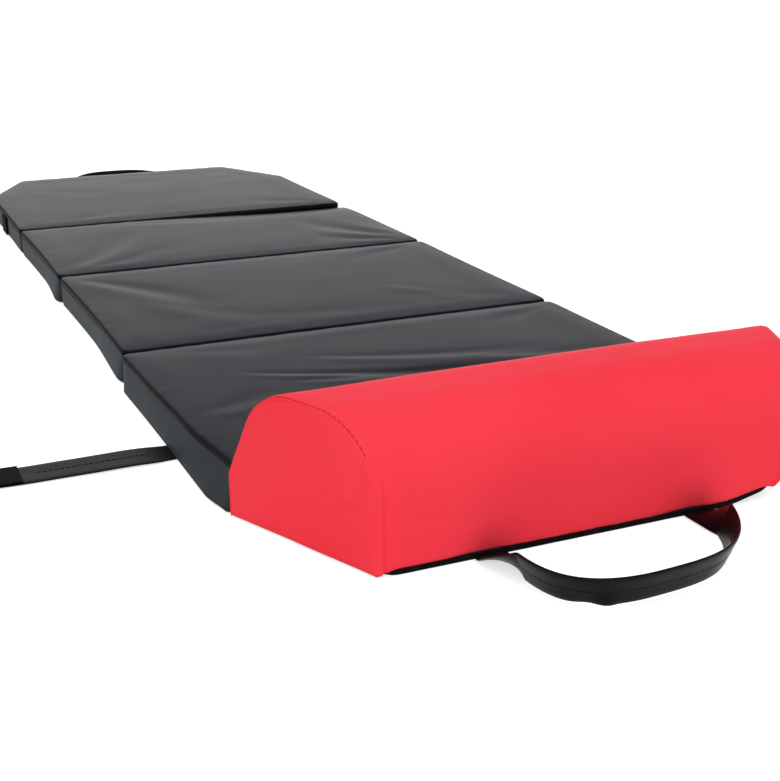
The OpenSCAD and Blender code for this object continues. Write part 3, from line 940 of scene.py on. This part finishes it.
bm = sheet_grid(REST_COLUMNS + 2 * len(NEAR_SEAM) - 2, REST_ROWS, rest_cover_point)
rest_cover = finish_piece(bm, "headrest_cover_sheet", red_vinyl, "mat_head",
                          ["headrest_cover"], thick=CLOTH * MM, levels=1)
print("headrest cover faces:", len(rest_cover.data.polygons))

# %% [markdown]
# The two end panels are cut to the profile and sewn in. Each is a grid laid under the profile's
# height, slanted like the end, and slightly domed by the filling. A row of stitches runs beside each
# end seam on the cover, and the groove further in is where its allowance is held down.

# %% Headrest ends and their stitching
# the crease across each end: from (depth, height) to (depth, height), its width and its depth
END_CREASE = (124, 37, 84, 42, 2.6, 1.3)


def profile_height(depth):
    """Height of the profile at a depth, mm."""
    if depth <= 0:
        return BACK_WALL
    if depth >= REST_DEPTH:
        return FRONT_ARC[1]
    path = profile_path(REST_FOOT)
    for (d0, h0), (d1, h1) in zip(path, path[1:]):
        if d0 <= depth <= d1 and d1 > d0:
            return h0 + (h1 - h0) * (depth - d0) / (d1 - d0)
    return REST_HEIGHT


def end_panel(side):
    def place(s, t):
        depth = REST_DEPTH * (0.5 - 0.5 * math.cos(math.pi * s))
        top = profile_height(depth)
        height = END_FOOT + (top - END_FOOT) * t
        edge = min(depth, REST_DEPTH - depth, top - height, (height - END_FOOT) * 1.5, 40.0)
        dome = smooth_step(edge / 22) - 2.1 * math.exp(-edge / 1.8)
        dome += crease(depth, height, *END_CREASE) + 0.3 * uneven(depth / 30, height / 25, side)
        return rest_place(side * (half_at_depth(depth) + dome), depth, height)

    bm = sheet_grid(40, 30, place)
    name = "headrest_" + SIDES[side] + "_end"
    return finish_piece(bm, name + "_panel", red_vinyl, "mat_head", [name],
                        thick=CLOTH * MM, levels=1)


def rest_stitch_path(side, inward, out):
    """Beside an end seam, from the back over the top; the stitches sink out of sight lower down."""
    path = []
    for (depth, height), (face_depth, face_height) in zip(rest_profile, rest_facing):
        if height > 12 and (depth < 106 or height > 72):
            across = side * (half_at_depth(depth) - inward)
            path.append(rest_place(across, depth + face_depth * out, height + face_height * out))
    return path, False


end_panels = [end_panel(side) for side in SIDES]
rest_stitches = stitch_row("headrest_stitches", [rest_stitch_path(side, 1.5, -0.35) for side in SIDES],
                           red_thread, "mat_head", pitch=4.2, length=2.8, radius=0.24)
print("end panels:", [o.name for o in end_panels], "stitches:", len(rest_stitches.data.polygons) // 8)

# %% [markdown]
# Round the headrest's foot runs a black binding, the tape that covers the raw edges where cover,
# ends and base meet. It is a strip folded over the edge, so its section is a flat loop.

# %% Binding, base and filling of the headrest
BINDING_HEIGHT = 3.7    # mm
BINDING_FOLD = 0.55     # how squarely it is folded
HIDDEN_HEIGHT = 0.8     # under the ends, the red cloth covers the binding
HIDDEN_INSET = 6.0      # and it lies further in
BASE_INSET = 4.0
BASE_HEIGHT = 1.2


def foot_outline(out):
    """The headrest's plan from the left back corner round the front to the right back corner, mm."""
    front_half = half_at_depth(REST_DEPTH)
    slant = math.hypot(REST_TAPER, REST_DEPTH) / REST_DEPTH
    corners = [(-REST_HALF - out * slant, 1.2), (-front_half - out, REST_DEPTH + out),
               (front_half + out, REST_DEPTH + out), (REST_HALF + out * slant, 1.2)]
    points = []
    for (x0, d0), (x1, d1) in zip(corners, corners[1:]):
        steps = max(2, round(math.hypot(x1 - x0, d1 - d0) / 6))
        points += straight((x0, d0), (x1, d1), steps)
    return points + [corners[-1]]


def binding_strip():
    centre = foot_outline(0.3)
    facing = foot_outline(1.3)

    def place(s, t):
        k = min(len(centre) - 1, round(s * (len(centre) - 1)))
        x, depth = centre[k]
        a = 2 * math.pi * t
        from_corner = half_at_depth(REST_DEPTH) - abs(x)
        seen = smooth_step(from_corner / FOOT_REACH) if depth > REST_DEPTH - 1 else 0.0
        wave = 0.25 * uneven(x / 12, depth / 12, 9)
        away = (0.75 + wave) * squarish(math.cos(a), BINDING_FOLD) - 0.1 - HIDDEN_INSET * (1 - seen)
        tall = HIDDEN_HEIGHT + (BINDING_HEIGHT - HIDDEN_HEIGHT) * seen
        height = tall / 2 * (1 + squarish(math.sin(a), BINDING_FOLD))
        return rest_place(x + (facing[k][0] - x) * away, depth + (facing[k][1] - depth) * away, height)

    bm = tube_grid(len(centre) - 1, 12, place)
    return finish_piece(bm, "headrest_foot_binding", binding, "mat_head", ["headrest_binding"],
                        levels=1)


def rest_base():
    bm, ring = ring_mesh([rest_place(x, depth, BASE_HEIGHT) for x, depth in foot_outline(-BASE_INSET)])
    bmesh.ops.contextual_create(bm, geom=ring)
    # The headrest's base sheet takes the lighter painted copy of the black cloth: painted light.
    return finish_piece(bm, "headrest_base_sheet", side_vinyl_painted_light, "mat_head",
                        ["headrest_base"], thick=CLOTH * MM)


FILL_INSET = 6.5        # the filling stays behind the dents in the cover
FILL_LOW = 2.2          # and above the base
FILL_ROWS = 40


def rest_filling():
    made, facing = even_points(profile_path(FILL_LOW), FILL_ROWS)

    def place(s, t):
        k = round(t * FILL_ROWS)
        (depth, height), (face_depth, face_height) = made[k], facing[k]
        depth = min(max(depth - face_depth * FILL_INSET, 2.6), REST_DEPTH - FILL_INSET)
        across = (2 * s - 1) * (half_at_depth(depth) - 3.4)
        return rest_place(across, depth, max(height - face_height * FILL_INSET, FILL_LOW))

    bm = tube_grid(24, FILL_ROWS, place)
    return finish_piece(bm, "headrest_foam_wedge", foam, "mat_head", ["headrest_foam"])


rest_pieces = [binding_strip(), rest_base(), rest_filling()]
print("headrest foot and filling:", [o.name for o in rest_pieces])

# %% [markdown]
# The carry loops. Each is a strip of the coated cloth folded lengthwise and stitched down the middle,
# so it is about two and a half millimetres thick with round edges. It leaves the mat lying flat and
# twists up on edge along the loop.

# %% Carry loops
BAND_WIDTH = 22.0
BAND_THICK = 2.4
LOOP_HALF = 75.0
TWIST_LENGTH = 30.0
LOOP_STATIONS = 120
SECTION_POINTS = 20
MIDDLE_THICK = 0.68     # share of the band's half thickness at which its stitches lie
LOOP_HINGE = 0.0003     # the loops turn this far outside their tabs, m
LOWEST = 0.25           # no point of a loop lies nearer to the floor, mm


def loop_centre(f, reach):
    c = math.cos(math.pi * f)
    return -LOOP_HALF * squarish(c, 0.7), reach * math.sin(math.pi * f) ** 0.8


def loop_frame(f, reach, lean):
    """Centre, width direction and thickness direction of the band, +Y outwards from the mat."""
    x, y = loop_centre(f, reach)
    a, b = loop_centre(max(f - 0.004, 0), reach), loop_centre(min(f + 0.004, 1), reach)
    normal = Vector((-(b[1] - a[1]), b[0] - a[0], 0)).normalized()
    rise = min(1.0, y / TWIST_LENGTH)
    if rise < 0.02:
        normal = Vector((math.copysign(1, x), 0, 0))
    phi = math.asin(math.sin(lean) * rise)
    wide = math.cos(phi) * normal + Vector((0, 0, math.sin(phi)))
    thick = -math.sin(phi) * normal + Vector((0, 0, math.cos(phi)))
    height = 0.3 + math.sin(phi) * BAND_WIDTH / 2 + math.cos(phi) * BAND_THICK / 2
    return Vector((x, y, height)), wide, thick


def loop_sag(sign, x, y):
    """The headrest's loop lies a little to the left and further out, and the foot's is pulled narrow."""
    away = smooth_step(y / 70)
    if sign > 0:
        return x * (1 - 0.22 * away), y
    return x - 7.0 * away, y + away * (5.0 - 0.07 * x)


def loop_crumple(sign, x, y, w):
    """How far the band is bent out of its plane and its lower edge, where w is -1, is pinched up, mm."""
    waves = uneven(x / 20, y / 20, 60 + sign) * (1 - w * w)
    if sign > 0:
        return waves, 0.0
    edge = smooth_step((0.3 - w) / 1.3)
    waves += 1.3 * edge * bell((x + 51) / 6) - 2.0 * edge * bell((x + 40) / 6)
    return waves, 1.3 * edge * bell((x + 41) / 8)


def band_outline(a):
    """Section of the folded band: width and thickness share at angle a, with a crease in the middle."""
    wide = squarish(math.cos(a), 0.35)
    return wide, squarish(math.sin(a), 0.6) * (1 - 0.35 * bell(wide / 0.06))


class Loop:
    """One handle: sign is 1 where +Y is outwards, and its band leans by lean degrees."""
    def __init__(self, part, mat_body, sign, lean):
        self.part = part
        self.body = part + "_loop"
        self.mat_body = mat_body
        self.sign = sign
        self.lean = math.radians(lean)
        self.end_y, edge_y = [corner.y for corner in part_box(part + "_handle_tabs")][::sign]
        self.pivot_y = edge_y + sign * LOOP_HINGE
        far = max(abs(corner.y - self.pivot_y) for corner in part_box(part + "_handle")) / MM
        self.reach = far - math.cos(self.lean) * BAND_WIDTH / 2 - math.sin(self.lean) * BAND_THICK / 2

    def place(self, s, w, h):
        """A point in metres: s runs along the loop from 0 to 1, w across it and h through it from -1 to 1."""
        f = s - 0.1 * math.sin(2 * math.pi * s)        # stations lie closer together near the ends
        centre, wide, thick = loop_frame(f, self.reach, self.lean)
        bend, pinch = loop_crumple(self.sign, centre.x, centre.y, w)
        p = centre + wide * (w * BAND_WIDTH / 2 + pinch) + thick * (h * BAND_THICK / 2 + bend)
        x, y = loop_sag(self.sign, p.x, p.y)
        return Vector((x, self.pivot_y / MM + self.sign * y, max(p.z, LOWEST))) * MM


def carry_loop(loop):
    def place(s, t):
        return loop.place(s, *band_outline(2 * math.pi * t))

    body, mat_body, sign, pivot_y = loop.body, loop.mat_body, loop.sign, loop.pivot_y
    bm = tube_grid(LOOP_STATIONS, SECTION_POINTS, place, closed=False)
    made = bmesh.ops.extrude_edge_only(bm, edges=[e for e in bm.edges if e.is_boundary])["geom"]
    for v in [g for g in made if isinstance(g, bmesh.types.BMVert)]:
        v.co.y += loop.end_y - pivot_y
    close_ends(bm)
    piece = finish_piece(bm, loop.part + "_carry_loop", band_vinyl, None,
                         [loop.part + "_handle", loop.part + "_handle_tabs"], levels=1)
    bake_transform(piece)
    return piece


def loop_stitches(loop):
    """The line down the middle of the band, on both its faces."""
    stations = [k / LOOP_STATIONS for k in range(8, LOOP_STATIONS - 7)]
    paths = [([loop.place(s, 0.0, face * MIDDLE_THICK) for s in stations], False) for face in (-1, 1)]
    return stitch_row(loop.body + "_stitches", paths, black_thread, loop.body,
                      pitch=4.0, length=2.9, radius=0.28)


loops = [Loop("headrest", "mat_head", -1, 68), Loop("foot", "leg_pad", 1, 64)]
for make in (carry_loop, loop_stitches):
    for loop in loops:
        make(loop)
print("carry loops reach, mm:", [round(loop.reach) for loop in loops])

# %% [markdown]
# The closing straps are the same folded strip. Each comes out at the foot of the shoulder pad's side
# and lies out on the floor. A pad of hook tape is sewn on the upper face near the free end. Its patch
# of loop tape is on the side of the leg pad, where the strap lands when the mat is folded.

# %% Closing straps
STRAP_LENGTH = 155.0    # mm
STRAP_END = 203.0       # distance of the strap's inner end from the middle
STRAP_FREE = 204.0      # from here on it lies on the floor
STRAP_LIE = 1.05        # height of its centre
STRAP_THIN = 0.95       # half its thickness
ROOT_SHARE = 0.06       # share of the stations in its root
STRAP_STATIONS = 64
# the root's path from behind the foot of the pad's side down to the floor: distance from the middle, height
ROOT_PATH = [(199.2, 4.4), (199.8, 3.2), (200.8, 2.2), (202.2, 1.4), (204.4, STRAP_LIE)]


def rounded_slab(low, high, edge, steps=2):
    """A box between two corners with all its edges eased, in metres."""
    bm = bmesh.new()
    stretch = Matrix.Diagonal((*(high - low), 1))
    bmesh.ops.create_cube(bm, size=1.0, matrix=Matrix.Translation((low + high) / 2) @ stretch)
    bmesh.ops.bevel(bm, geom=list(bm.edges), offset=edge, segments=steps, profile=0.5, affect="EDGES",
                    material=-1)
    return bm


def strap_height(x):
    """The strap lies on the floor in a slight wave, in mm; x is the distance from the pad."""
    return 0.6 * smooth_step(x / 30) * (0.5 + 0.5 * math.sin(x / 21.0)) * smooth_step((STRAP_LENGTH - x) / 30)


def strap_point(f, length):
    """Centre of the strap and its upward direction, both as (distance out, height), at share f of it."""
    if f < ROOT_SHARE:
        g = f / ROOT_SHARE * (len(ROOT_PATH) - 1)
        k = min(int(g), len(ROOT_PATH) - 2)
        (x0, z0), (x1, z1) = ROOT_PATH[k], ROOT_PATH[k + 1]
        turn = math.pi / 2 * smooth_step(g / (len(ROOT_PATH) - 1))
        return (x0 + (x1 - x0) * (g - k), z0 + (z1 - z0) * (g - k)), (math.cos(turn), math.sin(turn))
    start = ROOT_PATH[-1][0]
    out = (f - ROOT_SHARE) / (1 - ROOT_SHARE) * (length + STRAP_END - start)
    return (start + out, STRAP_LIE + strap_height(out)), (0.0, 1.0)


def strap_piece(side):
    word = SIDES[side]
    low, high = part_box(word + "_strap")
    length = (high.x - low.x) / MM
    mid_y = (low.y + high.y) / 2 / MM
    half = (high.y - low.y) / 2 / MM

    def place(s, t):
        (x, z), (up_x, up_z) = strap_point(s, length)
        w, h = band_outline(2 * math.pi * t)
        out = max(x - STRAP_FREE, 0.0)
        wander = 0.8 * uneven(out / 40, 5, side) * smooth_step(out / 20)
        narrow = 1.0 - 0.12 * smooth_step((20 - out) / 20)
        return Vector((side * (x + up_x * h * STRAP_THIN), mid_y + wander + w * (half - 0.2) * narrow,
                       z + up_z * h * STRAP_THIN)) * MM

    bm = tube_grid(STRAP_STATIONS, SECTION_POINTS, place)
    body = word + "_closing_strap"
    strap = finish_piece(bm, body, band_vinyl, None, [word + "_strap", word + "_strap_tab"],
                         levels=1)
    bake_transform(strap)
    centres = [strap_point(k / STRAP_STATIONS, length)[0] for k in range(10, STRAP_STATIONS - 22)]
    path = [Vector((side * x, mid_y, z + 0.75)) * MM for x, z in centres]
    stitch_row(word + "_strap_stitches", [(path, False)], black_thread, body,
               pitch=4.0, length=2.9, radius=0.28)
    return strap


def hook_tape(side):
    word = SIDES[side]
    low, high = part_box(word + "_hook_pad")
    mid_y = (low.y + high.y) / 2

    def place(s, t):
        x = low.x + (high.x - low.x) * s
        w, h = band_outline(2 * math.pi * t)
        wave = strap_height(abs(x) / MM - ROOT_PATH[-1][0])
        return Vector((x, mid_y + w * (high.y - low.y) / 2 * 0.97, 0.0026 + h * 0.0006 + wave * MM))

    bm = tube_grid(24, SECTION_POINTS, place)
    return finish_piece(bm, word + "_hook_tape", felt, word + "_closing_strap",
                        [word + "_hook_pad"])


def loop_tape(side):
    word = SIDES[side]
    low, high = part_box(word + "_loop_patch")
    inset = Vector((0.0002, 0, 0))
    bm = rounded_slab(low + inset, high - inset, 0.0004)
    return finish_piece(bm, word + "_loop_tape", felt, "leg_pad", [word + "_loop_patch"])


strap_pieces = [make(side) for side in SIDES for make in (strap_piece, hook_tape, loop_tape)]
print("strap pieces:", [o.name for o in strap_pieces])

# %% [markdown]
# The cloth hinges. Where two pads fold face to face, a strip joins their top edges and dips between
# them, and where they fold back to back it joins their lower edges. The strip is sewn to both pads.

# %% Cloth hinges
HINGE_LAP = 1.4         # how far a hinge lies on each pad, mm


def hinge_strip(name, node, near, far, height, dip):
    reach = (far.near - near.far) / 2 + HINGE_LAP
    seam = (near.far + far.near) / 2

    def place(s, t):
        x = (2 * s - 1) * (near.half - 3.0)
        y = (2 * t - 1) * reach
        return Vector((x, seam + y, height - dip * (1 - (y / reach) ** 2) + 0.15 * uneven(x / 9, y, 70))) * MM

    bm = sheet_grid(90, 8, place)
    # Painted near black: painted shade in the gap between the pads.
    piece = finish_piece(bm, name, painted_shade_vinyl, None, [node], thick=0.7 * MM)
    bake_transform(piece)
    return piece


hinges = [
    hinge_strip("shoulder_hinge_cloth", "shoulder_hinge_tape", pads["shoulder"], pads["back"], 26.2, 1.2),
    hinge_strip("back_hinge_cloth", "back_hinge_tape", pads["back"], pads["hip"], 3.2, -0.6),
    hinge_strip("hip_hinge_cloth", "hip_hinge_tape", pads["hip"], pads["leg"], 26.2, 1.2),
]
low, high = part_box("headrest_seam_tape")
inset = Vector((0, 0.00005, 0))
bm = rounded_slab(low + inset, high - inset, 0.0001, 1)
# Painted near black as well: painted shade at the headrest's join.
hinges.append(finish_piece(bm, "headrest_join", painted_shade_vinyl, "mat_head", ["headrest_seam_tape"]))
print("hinges:", [o.name for o in hinges])

# %% [markdown]
# The stage: one pale floor. The photograph is a cut-out on white, so the floor is close to white and
# seen as white by the camera and by reflections, while it still catches the mat's soft shadow.

# %% Floor, world and lamps
FLOOR_LIFT = 0.6        # the floor's paint seen by the camera is lifted to white by this much
SKY = 0.87              # strength of the studio's even light on the object


def seen_as_white(tree):
    """1 for a camera, glossy or transmission ray, 0 for the light that falls on the object."""
    path = add_node(tree, "ShaderNodeLightPath")
    total = path.outputs["Is Camera Ray"]
    for ray in ("Is Glossy Ray", "Is Transmission Ray"):
        either = add_node(tree, "ShaderNodeMath", {"operation": "MAXIMUM"})
        tree.links.new(total, either.inputs[0])
        tree.links.new(path.outputs[ray], either.inputs[1])
        total = either.outputs["Value"]
    return total


floor_bm = bmesh.new()
bmesh.ops.create_grid(floor_bm, x_segments=1, y_segments=1, size=40.0)
floor_mesh = bpy.data.meshes.new("floor")
floor_bm.to_mesh(floor_mesh)
floor_bm.free()
floor = bpy.data.objects.new("floor", floor_mesh)
floor.location.z = -0.0002
scene.collection.objects.link(floor)
floor_material, floor_tree, floor_shader, _ = new_material("floor_paint_white", "#F0F0F0", 0.9)
lift = add_node(floor_tree, "ShaderNodeMapRange", {"To Max": FLOOR_LIFT}, Value=seen_as_white(floor_tree))
floor_shader.inputs["Emission Color"].default_value = (1, 1, 1, 1)
floor_tree.links.new(lift.outputs["Result"], floor_shader.inputs["Emission Strength"])
floor_mesh.materials.append(floor_material)

world = bpy.data.worlds.new("studio")
scene.world = world
world.use_nodes = True
sky = world.node_tree.nodes["Background"]
sky.inputs["Color"].default_value = (1, 1, 1, 1)
strength = add_node(world.node_tree, "ShaderNodeMapRange", {"To Min": SKY, "To Max": 1.0},
                    Value=seen_as_white(world.node_tree))
world.node_tree.links.new(strength.outputs["Result"], sky.inputs["Strength"])


def soft_lamp(name, place, aim, size, watts):
    data = bpy.data.lights.new(name, "AREA")
    data.shape = "DISK"
    data.size = size
    data.energy = watts
    lamp = bpy.data.objects.new(name, data)
    lamp.location = place
    lamp.rotation_euler = (Vector(aim) - Vector(place)).to_track_quat("-Z", "Y").to_euler()
    scene.collection.objects.link(lamp)
    return lamp


soft_lamp("overhead_lamp", (-0.6, 0.1, 2.4), (0, 0, 0), 2.2, 10)
soft_lamp("front_lamp", (-0.5, -2.8, 0.8), (0, -0.6, 0.05), 1.5, 13)
print("lamps:", len(bpy.data.lights))
